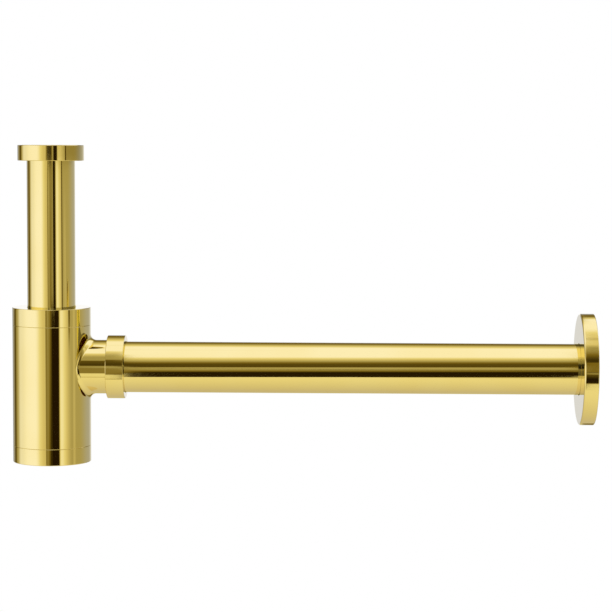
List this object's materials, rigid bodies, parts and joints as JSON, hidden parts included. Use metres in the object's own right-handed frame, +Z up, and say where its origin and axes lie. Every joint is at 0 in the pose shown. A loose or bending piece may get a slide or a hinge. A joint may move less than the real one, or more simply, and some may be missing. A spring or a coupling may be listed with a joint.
{
  "type": "bottle trap",
  "caption": "Round bottle trap with a dip tube, compression nut, screwed bottom cap, long horizontal wall tube and a deep sliding wall flange, in polished gold.",
  "frame": {"origin": "on the inlet axis, at the top of the inlet gasket, where the basin waste seats", "axes": "+Z up along the inlet tube, +X along the outlet tube towards the wall"},
  "size_m": [0.3883, 0.0746, 0.2117],
  "materials": {
    "polished_gold": "mirror polished, gold plated",
    "black_rubber": "moulded, satin",
    "white_plastic": "moulded, matt"
  },
  "bodies": {
    "union_nut": {"union_nut": "polished_gold"},
    "inlet_tube": {"inlet_tube": "polished_gold", "inlet_gasket": "black_rubber"},
    "trap_body": {"trap_body": "polished_gold", "top_seal": "black_rubber"},
    "top_slip_ring": {"top_slip_ring": "white_plastic"},
    "top_nut": {"top_nut": "polished_gold"},
    "cap_o_ring": {"cap_o_ring": "black_rubber"},
    "bottom_cap": {"bottom_cap": "polished_gold"},
    "outlet_tube": {"outlet_tube": "polished_gold", "outlet_gasket": "black_rubber"},
    "outlet_nut": {"outlet_nut": "polished_gold"},
    "wall_flange": {"wall_flange": "polished_gold"}
  },
  "joints": [
    {"name": "inlet_swivel", "type": "hinge", "parent": "union_nut", "child": "inlet_tube", "pos_m": [0, 0, 0], "axis": [0, 0, 1], "continuous": true},
    {"name": "height_slide", "type": "slide", "parent": "inlet_tube", "child": "trap_body", "axis": [0, 0, 1], "range_m": [-0.034, 0.006]},
    {"name": "top_nut_lift", "type": "slide", "parent": "trap_body", "child": "top_slip_ring", "axis": [0, 0, 1], "range_m": [0, 0.006]},
    {"name": "top_nut_turn", "type": "hinge", "parent": "top_slip_ring", "child": "top_nut", "pos_m": [0, 0, -0.1087], "axis": [0, 0, 1], "range_deg": [0, 1440]},
    {"name": "cap_drop", "type": "slide", "parent": "trap_body", "child": "cap_o_ring", "axis": [0, 0, -1], "range_m": [0, 0.0075]},
    {"name": "cap_turn", "type": "hinge", "parent": "cap_o_ring", "child": "bottom_cap", "pos_m": [0, 0, -0.1955], "axis": [0, 0, -1], "range_deg": [0, 1800]},
    {"name": "outlet_pull", "type": "slide", "parent": "trap_body", "child": "outlet_tube", "axis": [1, 0, 0], "range_m": [0, 0.006]},
    {"name": "outlet_nut_turn", "type": "hinge", "parent": "outlet_tube", "child": "outlet_nut", "pos_m": [0.0437, 0, -0.1427], "axis": [1, 0, 0], "range_deg": [0, 1440]},
    {"name": "flange_slide", "type": "slide", "parent": "outlet_tube", "child": "wall_flange", "axis": [-1, 0, 0], "range_m": [0, 0.28]}
  ],
  "couplings": [
    {"joint": "top_nut_lift", "follows": "top_nut_turn", "m_per_rad": 0.00023873},
    {"joint": "cap_drop", "follows": "cap_turn", "m_per_rad": 0.00023873},
    {"joint": "outlet_nut_turn", "follows": "outlet_pull", "rad_per_m": 4188.8}
  ]
}
